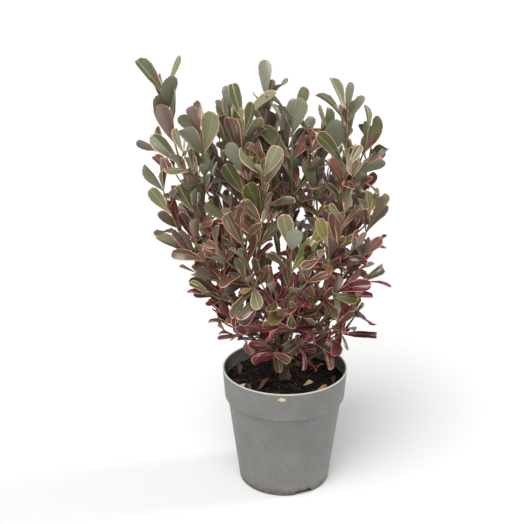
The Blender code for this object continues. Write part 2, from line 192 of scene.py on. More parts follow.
def setCamera():
    view = bpy.data.cameras.new("photo_camera")
    view.lens = photoCamera["lens"]
    view.sensor_width = photoCamera["sensor"]
    view.clip_end = photoCamera["sees"]
    stand = bpy.data.objects.new("photo_camera", view)
    stand.location = photoCamera["place"]
    stand.rotation_euler = (math.radians(90 - photoCamera["pitch"]), 0.0, 0.0)
    bpy.context.scene.collection.objects.link(stand)
    bpy.context.scene.camera = stand
    bpy.context.scene.view_settings.view_transform = "Standard"


# The pot: its rim and height come from the solid
pot = {
    "collarHeight": 0.036,
    "collarFoot": 0.0725,
    "wallTop": 0.069,
    "foot": 0.055,
    "wall": 0.0016,
    "lip": 0.0022,
    "footRound": 0.003,
    "stepRound": 0.0006,  # the collar's lower edge
    "stepOut": 0.0003,
    "innerDrop": 0.001,
    "steps": 144,
    "notchWidth": 0.022,
    "notchHeight": 0.006,
    "notchInner": 0.049,
    "notchAngles": (-66.0, 54.0, 174.0),
    "greys": ((0.30, "#6e6d6a"), (0.52, "#777674"), (0.74, "#817f7c")),
    "scuffs": "#a5a5a1",
    "grit": "#4a4743",
    "dirt": "#4f4234",
    # Painted highlight: this pale grey lightens the top of the lip where light catches it, over
    # the band given next
    "paintedHighlight": "#d2d0ca",
    "paintedHighlightBand": (0.0016, 0.0007),  # below the rim: where the pale edge starts and is full
    "dirtTop": 0.022,
    "patchSize": 35.7,  # these five in millimetres
    "scuffSize": 3.85,
    "gritSize": 1.11,
    "dustSize": 7.7,
    "grainSize": 0.625,
}


def potLayers(tree, place):
    # What lies over the grey, lowest first: the name of each colour and its mask
    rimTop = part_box("pot")[1][2]
    height = addNode(tree, "ShaderNodeSeparateXYZ", links={"Vector": place}).outputs["Z"]
    streaked = addNode(
        tree, "ShaderNodeMapping", {"Scale": (1.0, 1.0, 0.22)}, {"Vector": place}
    ).outputs["Vector"]
    scuff = addNode(
        tree,
        "ShaderNodeTexNoise",
        {"Scale": perMetre(pot["scuffSize"]), "Detail": 3.0, "Roughness": 0.7},
        {"Vector": streaked},
    ).outputs["Fac"]
    scuffMask = addNode(
        tree, "ShaderNodeValToRGB", links={"Fac": scuff}, stops=((0.62, 0.0), (0.72, 0.28))
    ).outputs["Color"]
    grit = addNode(
        tree,
        "ShaderNodeTexNoise",
        {"Scale": perMetre(pot["gritSize"]), "Detail": 1.0},
        {"Vector": place},
    ).outputs["Fac"]
    gritMask = addNode(
        tree, "ShaderNodeValToRGB", links={"Fac": grit}, stops=((0.66, 0.0), (0.70, 0.8))
    ).outputs["Color"]
    low = addNode(
        tree,
        "ShaderNodeMapRange",
        {"From Min": 0.0, "From Max": pot["dirtTop"], "To Min": 0.68, "To Max": 0.0},
        {"Value": height},
    ).outputs["Result"]
    dust = addNode(
        tree,
        "ShaderNodeTexNoise",
        {"Scale": perMetre(pot["dustSize"]), "Detail": 6.0, "Roughness": 0.75},
        {"Vector": place},
    ).outputs["Fac"]
    dirt = addNode(
        tree, "ShaderNodeMath", links={0: low, 1: dust}, operation="MULTIPLY"
    ).outputs["Value"]
    dirtMask = addNode(
        tree, "ShaderNodeValToRGB", links={"Fac": dirt}, stops=((0.18, 0.0), (0.30, 0.8))
    ).outputs["Color"]
    # The painted highlight along the lip: paler towards the rim's top
    starts, full = pot["paintedHighlightBand"]
    paintedHighlight = addNode(
        tree,
        "ShaderNodeMapRange",
        {"From Min": rimTop - starts, "From Max": rimTop - full, "To Max": 0.85},
        {"Value": height},
    ).outputs["Result"]
    return ("scuffs", scuffMask), ("grit", gritMask), ("dirt", dirtMask), ("paintedHighlight", paintedHighlight)


def potMaterial():
    # Polypropylene, injection moulded: matte grey with scuffs, specks, peat dust along the
    # foot and a painted highlight along the rim. Its moulded grain is drawn coarser than it is.
    made, tree, shader = newMaterial("moulded_polypropylene")
    shader.inputs["IOR"].default_value = 1.49
    place = addNode(tree, "ShaderNodeTexCoord").outputs["Object"]
    patches = addNode(
        tree,
        "ShaderNodeTexNoise",
        {"Scale": perMetre(pot["patchSize"]), "Detail": 5.0, "Roughness": 0.6},
        {"Vector": place},
    ).outputs["Fac"]
    colour = addNode(
        tree, "ShaderNodeValToRGB", links={"Fac": patches}, stops=pot["greys"]
    ).outputs["Color"]
    for layer, mask in potLayers(tree, place):
        colour = addNode(
            tree,
            "ShaderNodeMix",
            {"B": linear(pot[layer])},
            {"Factor": mask, "A": colour},
            data_type="RGBA",
        ).outputs["Result"]
    gloss = addNode(
        tree, "ShaderNodeMapRange", {"To Min": 0.46, "To Max": 0.64}, {"Value": patches}
    ).outputs["Result"]
    grain = addNode(
        tree,
        "ShaderNodeTexNoise",
        {"Scale": perMetre(pot["grainSize"]), "Detail": 2.0},
        {"Vector": place},
    ).outputs["Fac"]
    bump = addNode(
        tree, "ShaderNodeBump", {"Strength": 0.35, "Distance": 0.00015}, {"Height": grain}
    ).outputs["Normal"]
    tree.links.new(colour, shader.inputs["Base Color"])
    tree.links.new(gloss, shader.inputs["Roughness"])
    tree.links.new(bump, shader.inputs["Normal"])
    return made


def collarSlope():
    return (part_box("pot")[1][0] - pot["collarFoot"]) / pot["collarHeight"]


def collarStep():
    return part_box("pot")[1][2] - pot["collarHeight"]


def potShape():
    # From the floor inside, up the inner wall, over the lip and down to the underside
    rim, _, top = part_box("pot")[1]
    step = collarStep()
    wall, lip, foot, edge = pot["wall"], pot["lip"] / 2, pot["footRound"], pot["stepRound"]
    innerRound = foot - wall / 2
    innerCentre = (pot["foot"] - wall - innerRound, wall + innerRound)
    points = [(0.0, wall), (pot["foot"] * 0.5, wall)]
    points += arc(innerCentre, innerRound, -90, 0, count=6)
    points += [(pot["wallTop"] - wall, step - pot["innerDrop"])]
    points += [(pot["collarFoot"] - wall, step + wall)]
    points += arc((rim - lip, top - lip), lip, 180, 0, count=13)
    points += arc((pot["collarFoot"] - edge, step + edge), edge, 0, -90, count=5)
    points += [(pot["wallTop"] + pot["stepOut"], step), (pot["wallTop"], step - edge)]
    points += arc((pot["foot"] - foot, foot), foot, 0, -90, count=8)
    points += [(pot["foot"] * 0.5, 0.0), (0.0, 0.0)]
    return turned(points, pot["steps"])


def asObject(name, shape):
    mesh = bpy.data.meshes.new(name)
    shape.to_mesh(mesh)
    shape.free()
    item = bpy.data.objects.new(name, mesh)
    bpy.context.scene.collection.objects.link(item)
    return item


def notchCutter(angle):
    # A block with rounded long edges, laid along one drain notch
    reach = 2 * pot["wall"] + pot["foot"] - pot["notchInner"]
    block = bmesh.new()
    bmesh.ops.create_cube(block, size=1.0)
    size = (reach, pot["notchWidth"], 2 * pot["notchHeight"])
    bmesh.ops.scale(block, vec=size, verts=block.verts)
    along = [e for e in block.edges if abs(e.verts[0].co.x - e.verts[1].co.x) > reach / 2]
    bmesh.ops.bevel(
        block,
        geom=along,
        offset=pot["notchHeight"] / 3,
        segments=4,
        profile=0.5,
        affect="EDGES",
        material=-1,
    )
    turn = Matrix.Rotation(math.radians(angle), 4, "Z")
    place = Matrix.Translation((pot["notchInner"] + reach / 2, 0.0, 0.0))
    bmesh.ops.transform(block, matrix=turn @ place, verts=block.verts)
    return asObject("notch", block)


def makePot():
    blank = asObject("pot_blank", potShape())
    cutters = [notchCutter(angle) for angle in pot["notchAngles"]]
    for cutter in cutters:
        cut = blank.modifiers.new("notch", "BOOLEAN")
        cut.operation = "DIFFERENCE"
        cut.object = cutter
    graph = bpy.context.evaluated_depsgraph_get()
    cutPot = bpy.data.meshes.new_from_object(blank.evaluated_get(graph))
    for item in cutters + [blank]:
        bpy.data.objects.remove(item)
    shape = bmesh.new()
    shape.from_mesh(cutPot)
    for face in shape.faces:
        face.material_index = 0
    bpy.data.meshes.remove(cutPot)
    finish("pot_shell", shape, [potMaterial()], ["pot"], sharp=35)


# The peat: a body that fills the pot, then loose crumbs and fibres on its mound
peat = {
    "seed": 31,
    "centre": 0.133,
    "edge": 0.130,
    "flat": 0.012,
    "rings": 34,
    "steps": 160,
    "rimGap": 0.0004,
    "gap": 0.0006,
    "under": 0.0003,
    "lump": 0.0016,
    "lumpsPerMetre": 110,
    "lumpSlice": 0.3,  # another value gives other lumps
    "grainSize": 3.125,  # in millimetres
    "dark": "#120e0c",
    "light": "#3a2a20",
}

crumbs = {
    "count": 620,
    "spread": 0.975,
    "size": (0.0005, 0.0019),
    "long": (0.7, 1.5),
    "wide": (0.6, 1.1),
    "high": 0.7,
    "rough": 0.3,
    "roughGrain": 900,
    "mixing": 400,  # sends each crumb to its own part of the noise
    "tilt": 0.6,
    "lift": 0.2,
    "dark": "#1a130f",
    "light": "#4a3627",
}

fibres = {
    "count": 170,
    "spread": 0.9,
    "length": (0.004, 0.014),
    "joints": 5,
    "wander": 0.35,
    "edgeGap": 0.001,
    "lift": 0.0007,
    "arch": 0.0006,
    "thick": (0.0002, 0.00045),
    "sides": 5,
    "dark": "#5c4431",
    "light": "#a08460",
}


def peatMaterial(name, look):
    # Moist milled peat: nearly black grains about 3 mm wide with brown ends, no gloss
    made, tree, shader = newMaterial(name)
    place = addNode(tree, "ShaderNodeTexCoord").outputs["Object"]
    grain = addNode(
        tree,
        "ShaderNodeTexNoise",
        {"Scale": perMetre(peat["grainSize"]), "Detail": 6.0, "Roughness": 0.75},
        {"Vector": place},
    ).outputs["Fac"]
    colour = addNode(
        tree,
        "ShaderNodeValToRGB",
        links={"Fac": grain},
        stops=((0.35, look["dark"]), (0.58, look["dark"]), (0.76, look["light"])),
    ).outputs["Color"]
    bump = addNode(
        tree, "ShaderNodeBump", {"Strength": 0.8, "Distance": 0.0012}, {"Height": grain}
    ).outputs["Normal"]
    shader.inputs["Roughness"].default_value = 0.92
    shader.inputs["Specular IOR Level"].default_value = 0.25
    tree.links.new(colour, shader.inputs["Base Color"])
    tree.links.new(bump, shader.inputs["Normal"])
    return made


def peatHeight(x, y):
    # The mound's height at a place, with lumps
    radius = math.hypot(x, y)
    share = max((radius - peat["flat"]) / (pot["collarFoot"] - peat["flat"]), 0.0)
    mound = peat["centre"] - share**2 * (peat["centre"] - peat["edge"])
    spot = Vector((x, y, peat["lumpSlice"])) * peat["lumpsPerMetre"]
    rough = noise.fractal(spot, 1.0, 2.0, 5)  # each of five octaves half as strong as the last
    return mound + peat["lump"] * rough


def randomSpot(edge, spread, luck):
    radius = edge * math.sqrt(luck.random()) * spread
    angle = luck.uniform(0, 2 * math.pi)
    return radius * math.cos(angle), radius * math.sin(angle)


def makeMound(edge):
    step, rings = collarStep(), peat["rings"]
    top = [(edge * k / rings, peat["centre"]) for k in range(rings + 1)]
    clear, low = pot["wall"] + peat["gap"], pot["wall"] + peat["under"]
    body = [
        (pot["collarFoot"] - clear, step + clear),
        (pot["wallTop"] - clear, step),
        (pot["foot"] - clear, pot["footRound"] + low),
        (pot["foot"] - clear - pot["footRound"], low),
        (0.0, low),
    ]
    shape = turned(top + body, peat["steps"])
    for vert in shape.verts:
        if vert.co.z > peat["edge"]:
            vert.co.z = peatHeight(vert.co.x, vert.co.y)
    look = peatMaterial("milled_peat", peat)
    finish("peat_mound", shape, [look], ["soil"], sharp=80)


def scatterCrumbs(edge, luck):
    heap = bmesh.new()
    for _ in range(crumbs["count"]):
        crumb = bmesh.new()
        bmesh.ops.create_icosphere(crumb, subdivisions=1, radius=1.0)
        x, y = randomSpot(edge, crumbs["spread"], luck)
        size = luck.uniform(*crumbs["size"])
        long, wide = size * luck.uniform(*crumbs["long"]), size * luck.uniform(*crumbs["wide"])
        bmesh.ops.scale(crumb, vec=(long, wide, size * crumbs["high"]), verts=crumb.verts)
        own = Vector((x, y, 0)) * crumbs["mixing"]
        for vert in crumb.verts:
            vert.co *= 1 + crumbs["rough"] * noise.noise(vert.co * crumbs["roughGrain"] + own)
        spin = Matrix.Rotation(luck.uniform(0, roundTurn), 4, "Z")
        tilt = Matrix.Rotation(luck.uniform(-crumbs["tilt"], crumbs["tilt"]), 4, "X")
        place = Matrix.Translation((x, y, peatHeight(x, y) + crumbs["lift"] * size))
        bmesh.ops.transform(crumb, matrix=place @ (spin @ tilt), verts=crumb.verts)
        joinInto(heap, crumb)
    finish("peat_crumbs", heap, [peatMaterial("peat_crumb", crumbs)])


def layFibres(edge, luck):
    mat = bmesh.new()
    for _ in range(fibres["count"]):
        x, y = randomSpot(edge, fibres["spread"], luck)
        heading = luck.uniform(0, 2 * math.pi)
        stride = luck.uniform(*fibres["length"]) / (fibres["joints"] - 1)
        points = []
        for _ in range(fibres["joints"]):
            heading += luck.uniform(-fibres["wander"], fibres["wander"])
            x, y = x + stride * math.cos(heading), y + stride * math.sin(heading)
            if math.hypot(x, y) > edge - fibres["edgeGap"]:
                break
            lift = fibres["lift"] + fibres["arch"] * luck.random()
            points.append(Vector((x, y, peatHeight(x, y) + lift)))
        if len(points) > 2:
            thick = luck.uniform(*fibres["thick"])
            joinInto(mat, tube(points, [thick] * len(points), fibres["sides"]))
    finish("peat_fibres", mat, [peatMaterial("peat_fibre", fibres)])


def makePeat():
    inner = pot["collarFoot"] - pot["wall"] - peat["rimGap"]
    edge = inner + collarSlope() * (peat["edge"] - collarStep())
    luck = random.Random(peat["seed"])
    makeMound(edge)
    scatterCrumbs(edge, luck)
    layFibres(edge, luck)


# Each spray: height it leaves the trunk, tip azimuth, tip reach, tip height, bare share of
# the limb, side shoots
sprays = {
    "crown_top": (0.300, -60, 0.012, 0.458, 0.0, 2),
    "tall_left": (0.205, -176, 0.134, 0.488, 0.30, 2),
    "left": (0.178, -168, 0.140, 0.378, 0.30, 3),
    "left_front": (0.192, -146, 0.122, 0.336, 0.30, 3),
    "low_left": (0.165, -171, 0.090, 0.256, 0.25, 3),
    "front_left": (0.200, -118, 0.110, 0.368, 0.30, 3),
    "front": (0.180, -88, 0.110, 0.345, 0.30, 3),
    "front_right": (0.195, -56, 0.108, 0.372, 0.30, 3),
    "top_back_left": (0.225, 150, 0.078, 0.440, 0.30, 2),
    "top_front_left": (0.240, -146, 0.058, 0.458, 0.30, 2),
    "top_back": (0.250, 122, 0.038, 0.470, 0.30, 2),
    "top_right": (0.235, -24, 0.070, 0.466, 0.30, 3),
    "right": (0.210, 18, 0.104, 0.420, 0.30, 3),
    "low_right": (0.200, -22, 0.100, 0.345, 0.30, 3),
    "side_spray": (0.148, -20, 0.092, 0.240, 0.50, 1),
    "back_right": (0.195, 58, 0.108, 0.388, 0.30, 3),
    "back": (0.215, 98, 0.102, 0.420, 0.30, 3),
    "back_left": (0.200, 138, 0.124, 0.392, 0.30, 3),
    "low_front": (0.160, -103, 0.062, 0.255, 0.0, 3),
    "low_front_right": (0.165, -48, 0.070, 0.262, 0.0, 3),
    "low_back": (0.160, 70, 0.068, 0.262, 0.0, 3),
    "low_back_left": (0.158, 146, 0.066, 0.250, 0.0, 3),
}

# The crown's outline: reach from its axis, and how far the axis stands along X, by height
crown = {
    "reach": ((0.13, 0.060), (0.19, 0.084), (0.28, 0.130), (0.38, 0.148), (0.56, 0.148)),
    "shift": ((0.28, 0.0), (0.38, -0.027)),
}

trunk = {
    "top": 0.300,
    "lean": 0.006,
    "bow": 0.0015,
    "thick": 0.0046,
    "thin": 0.0022,
    "flare": 0.0036,
    "flareHeight": 0.007,
    "sunk": 0.004,
    "rings": 46,
    "sides": 18,
}

limbs = {
    "thick": 0.0028,
    "thin": 0.0016,
    "bend": math.radians(20),
    "arm": 0.36,
    "spans": 60,
    "spacing": 0.004,
    "sunk": 0.001,
    "sides": 12,
}

bark = {
    "ridge": 0.00028,
    "ridgesAcross": 900,  # in a metre, so each is about 1 mm wide and 6 mm long
    "ridgesAlong": 160,
    "old": ((0.35, "#3d3226"), (0.62, "#6f5f47")),
    "young": ((0.35, "#6a6238"), (0.62, "#8d8650")),
    "ages": (0.14, 0.34),
    "streakSize": 1.43,  # in millimetres, and four times as long
}


def barkMaterial(name):
    # Thin young bark: grey-brown and fissured at the foot, olive-yellow where it is new
    made, tree, shader = newMaterial(name)
    place = addNode(tree, "ShaderNodeTexCoord").outputs["Object"]
    height = addNode(tree, "ShaderNodeSeparateXYZ", links={"Vector": place}).outputs["Z"]
    streaked = addNode(
        tree, "ShaderNodeMapping", {"Scale": (1.0, 1.0, 0.25)}, {"Vector": place}
    ).outputs["Vector"]
    streak = addNode(
        tree,
        "ShaderNodeTexNoise",
        {"Scale": perMetre(bark["streakSize"]), "Detail": 5.0, "Roughness": 0.7},
        {"Vector": streaked},
    ).outputs["Fac"]
    oldest, youngest = bark["ages"]
    age = addNode(
        tree, "ShaderNodeMapRange", {"From Min": oldest, "From Max": youngest}, {"Value": height}
    ).outputs["Result"]
    old = addNode(
        tree, "ShaderNodeValToRGB", links={"Fac": streak}, stops=bark["old"]
    ).outputs["Color"]
    young = addNode(
        tree, "ShaderNodeValToRGB", links={"Fac": streak}, stops=bark["young"]
    ).outputs["Color"]
    colour = addNode(
        tree, "ShaderNodeMix", links={"Factor": age, "A": old, "B": young}, data_type="RGBA"
    ).outputs["Result"]
    bump = addNode(
        tree, "ShaderNodeBump", {"Strength": 0.6, "Distance": 0.0006}, {"Height": streak}
    ).outputs["Normal"]
    shader.inputs["Roughness"].default_value = 0.68
    tree.links.new(colour, shader.inputs["Base Color"])
    tree.links.new(bump, shader.inputs["Normal"])
    return made


def trunkPoint(height):
    share = (height - peat["centre"]) / (trunk["top"] - peat["centre"])
    bow = trunk["bow"] * math.sin(math.pi * share)
    return Vector((trunk["lean"] * share - bow, bow, height))


def trunkRadius(height):
    share = (height - peat["centre"]) / (trunk["top"] - peat["centre"])
    flare = trunk["flare"] * math.exp(-(height - peat["centre"]) / trunk["flareHeight"])
    return trunk["thick"] + share * (trunk["thin"] - trunk["thick"]) + flare


def bezierLine(start, startWay, tip, tipWay, count):
    arm = (tip - start).length * limbs["arm"]
    first, second = start + startWay * arm, tip - tipWay * arm
    points = []
    for k in range(count):
        t = k / (count - 1)
        u = 1.0 - t
        points.append(u**3 * start + 3 * u * u * t * first + 3 * u * t * t * second + t**3 * tip)
    return points


def wayOf(azimuth, lean):
    flat = math.sin(lean)
    return Vector((flat * math.cos(azimuth), flat * math.sin(azimuth), math.cos(lean)))


def limbLine(row):
    # The whole limb of a spray, from the trunk's side to the tip of its main shoot
    leavesAt, azimuth, reach, height = row[:4]
    count = limbs["spans"] + 1
    azimuth = math.radians(azimuth)
    tip = Vector((reach * math.cos(azimuth), reach * math.sin(azimuth), height))
    root = trunkPoint(leavesAt)
    if leavesAt == trunk["top"]:
        return bezierLine(root, wayOf(0, 0), tip, wayOf(0, 0), count)
    along = math.atan2((tip.xy - root.xy).length, height - leavesAt)
    startWay = wayOf(azimuth, along + limbs["bend"])
    start = root + trunkRadius(leavesAt) * wayOf(azimuth, math.pi / 2)
    return bezierLine(start, startWay, tip, wayOf(azimuth, along - limbs["bend"]), count)


def lineLength(points):
    return sum((b - a).length for a, b in zip(points[:-1], points[1:]))


def pointOn(points, distance):
    # The place and the heading at a distance along a line
    for a, b in zip(points[:-1], points[1:]):
        run = (b - a).length
        if distance <= run or b is points[-1]:
            return a + (b - a) * min(distance / run, 1.0), (b - a) / run
        distance -= run


def spacedLine(points, step):
    length = lineLength(points)
    count = max(3, round(length / step))
    return [pointOn(points, length * k / count)[0] for k in range(count + 1)]


def across(tangent, turn):
    # A direction square to the tangent, turned about it from the level one
    flat = tangent.cross(Vector((0.0, 0.0, 1.0)))
    if flat.length < 0.05:  # nearly upright
        flat = tangent.cross(Vector((0.0, 1.0, 0.0)))
    return Matrix.Rotation(turn, 3, tangent) @ flat.normalized()


def between(steps, height):
    # A value that changes evenly from one named height to the next
    for (low, first), (high, second) in zip(steps[:-1], steps[1:]):
        if height < high:
            share = max((height - low) / (high - low), 0.0)
            return first + share * (second - first)
    return steps[-1][1]


def inCrown(point, share=1.0):
    shift = between(crown["shift"], point.z)
    return math.hypot(point.x - shift, point.y) < share * between(crown["reach"], point.z)


def tube(points, radii, sides):
    # A round limb through rings that are bridged, closed at both ends
    shape = bmesh.new()
    side = across((points[1] - points[0]).normalized(), 0.0)
    rings = []
    for number, (point, radius) in enumerate(zip(points, radii)):
        before = points[max(number - 1, 0)]
        after = points[min(number + 1, len(points) - 1)]
        tangent = (after - before).normalized()
        side = (side - tangent * side.dot(tangent)).normalized()
        basis = Matrix((side, tangent.cross(side), tangent)).transposed().to_4x4()
        made = bmesh.ops.create_circle(
            shape,
            cap_ends=number in (0, len(points) - 1),
            segments=sides,
            radius=radius,
            matrix=Matrix.Translation(point) @ basis,
        )
        corners = set(made["verts"])
        rings.append([e for e in shape.edges if corners.issuperset(e.verts)])
    for first, second in zip(rings[:-1], rings[1:]):
        bmesh.ops.bridge_loops(shape, edges=first + second)
    bmesh.ops.recalc_face_normals(shape, faces=shape.faces)
    return shape


def taper(thick, thin, last):
    return [thick + (thin - thick) * k / last for k in range(last + 1)]


def growTrunk():
    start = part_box("trunk")[0][2] - trunk["sunk"]
    rise = trunk["top"] - start
    heights = [start + rise * k / trunk["rings"] for k in range(trunk["rings"] + 1)]
    radii = [trunkRadius(max(height, peat["centre"])) for height in heights]
    return tube([trunkPoint(height) for height in heights], radii, trunk["sides"])


def growLimbs():
    # Trunk and boughs in one skin, with the ridges of thin bark. The rest of each limb is
    # its spray's main shoot.
    shape = bmesh.new()
    joinInto(shape, growTrunk())
    mains = {}
    for name, row in sprays.items():
        leavesAt, bare = row[0], row[4]
        whole = limbLine(row)
        cut = round(bare * limbs["spans"])
        mains[name] = whole[cut:]
        if not cut:
            continue
        bough = [trunkPoint(leavesAt - limbs["sunk"])]
        bough += spacedLine(whole[:cut + 2], limbs["spacing"])
        radii = taper(limbs["thick"], limbs["thin"], len(bough) - 1)
        joinInto(shape, tube(bough, radii, limbs["sides"]))
    wide, long = bark["ridgesAcross"], bark["ridgesAlong"]
    for vert in shape.verts:
        ridge = noise.noise(Vector((vert.co.x * wide, vert.co.y * wide, vert.co.z * long)))
        vert.co += vert.normal * bark["ridge"] * ridge
    names = ["trunk"] + ["bough_" + name for name, row in sprays.items() if row[4]]
    finish("bark_limbs", shape, [barkMaterial("young_bark")], names)
    return mains


# Side shoots, by the same rule as the solids
shoots = {
    "angle": math.radians(40),
    "share": 0.68,
    "first": 0.04,
    "last": 0.52,
    "least": 0.025,
    "extra": 0.012,
    "golden": math.radians(137.5),
    "stray": 0.3,
    "vary": (0.85, 1.1),
    "rise": 0.35,
    "splay": 0.35,
    "room": 0.84,
    "shorten": 0.85,
    "points": 9,
}

# Each order of twig: thickness and leaf size beside the main shoot's
twigs = {
    "orders": {"main": (1.0, 1.0), "side": (0.85, 0.95), "twiglet": (0.65, 0.72)},
    "thick": 0.0016,
    "thin": 0.0008,
    "knob": 0.22,  # how far a leaf joint swells the shoot
    "knobEvery": 3,
    "spacing": 0.006,
    "twigletSpacing": 0.008,
    "sides": 8,
    "sideSeed": 1000,
    "fineSeed": 4000,
}


def sideLines(main, count, luck):
    # Side shoots leave the main shoot round it in turn and bend upwards
    length = lineLength(main)
    lines = []
    turn = luck.uniform(0, 2 * math.pi)
    span = shoots["last"] - shoots["first"]
    for number in range(count):
        share = shoots["first"] + span * (number + luck.random()) / count
        root, tangent = pointOn(main, share * length)
        turn += shoots["golden"] + luck.uniform(-shoots["stray"], shoots["stray"])
        out = across(tangent, turn)
        startWay = tangent * math.cos(shoots["angle"]) + out * math.sin(shoots["angle"])
        run = length * (1 - share) * shoots["share"] * luck.uniform(*shoots["vary"])
        run += shoots["extra"]
        tipWay = (tangent + Vector((0, 0, shoots["rise"])) + shoots["splay"] * out).normalized()
        tip = root + run * (startWay + tipWay).normalized()
        while run > shoots["least"] and not inCrown(tip, shoots["room"]):
            run *= shoots["shorten"]
            tip = root + run * (startWay + tipWay).normalized()
        if run > shoots["least"]:
            lines.append(bezierLine(root, startWay, tip, tipWay, shoots["points"]))
    return lines


def twigTube(line, thick):
    points = spacedLine(line, twigs["spacing"])
    radii = taper(twigs["thick"], twigs["thin"], len(points) - 1)
    knobs = [1 + twigs["knob"] * (k % twigs["knobEvery"] == 0) for k in range(len(points))]
    return tube(points, [r * thick * knob for r, knob in zip(radii, knobs)], twigs["sides"])


# The leaf: its outline's rows from stalk to tip, its strips and how it bends
leaves = {
    "rows": (0.0, 0.13, 0.32, 0.52, 0.71, 0.87, 0.965, 1.0),
    "margin": 0.0010,
    "marginShare": 0.6,
    "rib": 0.00035,
    "ribShare": 0.3,
    "thickness": 0.0006,
    "stalk": 0.0011,
    "flattest": 0.02,
    "ripples": 1.6,
    "otherSide": 0.37,  # how far the ripples of one edge lag behind the other's
    "rollWays": (1, 1, 1, -0.6),  # one leaf in four rolls back
    "waveShare": (0.3, 1.2),
    "twist": 0.5,
    "cellSize": 2.38,  # in millimetres
}

# How leaves stand on a shoot. Below droopTop they droop more and more, down to droopBottom,
# and a young leaf is a small one in the joint of a large one.
habit = {
    "length": 0.042,
    "growth": ((0.36, 1.0), (0.44, 1.22)),  # larger leaves towards the top
    "spacing": ((0.20, 0.0285), (0.40, 0.0255), (0.45, 0.0185)),  # by height
    "spacingVary": (0.85, 1.2),
    "first": 0.010,
    "past": 0.010,
    "tipGap": 0.0008,
    "lean": math.radians(40),
    "lowLean": math.radians(70),
    "tipLean": 0.4,
    "leanVary": (0.7, 1.3),
    "droopTop": 0.30,
    "droopBottom": 0.18,
    "droop": 0.32,
    "droopVary": (0.1, 1.2),
    "lowShrink": 0.12,
    "sizes": (0.74, 0.36, 0.15, 0.75),  # least, rise, then where along the sine a shoot runs
    "sizeVary": (0.8, 1.15),
    "stray": 0.4,
    "turnStray": 0.2,
    "young": 0.55,  # chance of a young leaf beside each large one
    "youngSize": (0.35, 0.62),
    "youngLean": 0.6,
    "facing": (0.35, 0.7, 0.8),  # along the shoot, out from the crown's axis, up
    "faceStray": 0.7,
    "kindStray": 0.03,
    "peatGap": 0.004,
    "free": "side_spray",  # the one spray that may leave the outline
}

leafParts = ("blade_one", "blade_two", "blade_three", "margin", "rib", "underside")

# Each kind: its colours, the ranges of its roll, curl and width, its wave and roughness
leafKinds = {
    "sage": {
        "slot": "leaf_sage",
        "blades": ("#72744f", "#858462", "#5a5f3d"),
        "margin": "#dfae9e",
        "rib": "#aaa06c",
        "under": "#84866f",
        "roll": (0.2, 1.2),
        "curl": (-0.5, 0.7),
        "wave": 0.0006,
        "width": (0.36, 0.47),
        "rough": 0.42,
    },
    "bronze": {
        "slot": "leaf_bronze",
        "blades": ("#5c4a35", "#504c34", "#764b39"),
        "margin": "#dd9690",
        "rib": "#957a50",
        "under": "#7d6a5c",
        "roll": (0.4, 1.7),
        "curl": (-0.8, 1.2),
        "wave": 0.0012,
        "width": (0.34, 0.46),
        "rough": 0.36,
    },
    "wine": {
        "slot": "leaf_wine",
        "blades": ("#54282a", "#743639", "#3c2a20"),
        "margin": "#ea7786",
        "rib": "#93534f",
        "under": "#7c4a4c",
        "roll": (0.6, 2.2),
        "curl": (-1.0, 1.5),
        "wave": 0.0018,
        "width": (0.30, 0.44),
        "rough": 0.24,
    },
    "olive": {
        "slot": "leaf_sage",
        "blades": ("#747436", "#867c44", "#5f6c2c"),
        "margin": "#d29f80",
        "rib": "#a3a05e",
        "under": "#7f8160",
        "roll": (0.2, 1.0),
        "curl": (-0.5, 1.0),
        "wave": 0.0010,
        "width": (0.36, 0.46),
        "rough": 0.38,
    },
}

# Share of each kind at each height, in the order of leafKinds
kindShares = (
    (0.16, (0.00, 0.22, 0.65, 0.13)),
    (0.24, (0.02, 0.42, 0.46, 0.10)),
    (0.30, (0.07, 0.70, 0.15, 0.08)),
    (0.36, (0.30, 0.63, 0.00, 0.07)),
    (0.42, (0.76, 0.19, 0.00, 0.05)),
    (0.50, (0.95, 0.03, 0.00, 0.02)),
)

# A mass counts as wine below the first tip height, as sage above the second
zoneHeights = (0.30, 0.44)


def leafMaterial(name, colour, rough):
    # A living leaf: waxy skin over soft cells, so a broad gloss on a faint pebbled grain,
    # which is drawn coarser than the real cells so that it shows
    made, tree, shader = newMaterial(name)
    place = addNode(tree, "ShaderNodeTexCoord").outputs["Object"]
    cells = addNode(
        tree,
        "ShaderNodeTexNoise",
        {"Scale": perMetre(leaves["cellSize"]), "Detail": 2.0},
        {"Vector": place},
    ).outputs["Fac"]
    gloss = addNode(
        tree,
        "ShaderNodeMapRange",
        {"To Min": rough - 0.08, "To Max": rough + 0.10},
        {"Value": cells},
    ).outputs["Result"]
    bump = addNode(
        tree, "ShaderNodeBump", {"Strength": 0.25, "Distance": 0.0004}, {"Height": cells}
    ).outputs["Normal"]
    shader.inputs["Base Color"].default_value = linear(colour)
    shader.inputs["IOR"].default_value = 1.45
    shader.inputs["Coat Weight"].default_value = 0.35
    shader.inputs["Coat Roughness"].default_value = 0.18
    tree.links.new(gloss, shader.inputs["Roughness"])
    tree.links.new(bump, shader.inputs["Normal"])
    return made


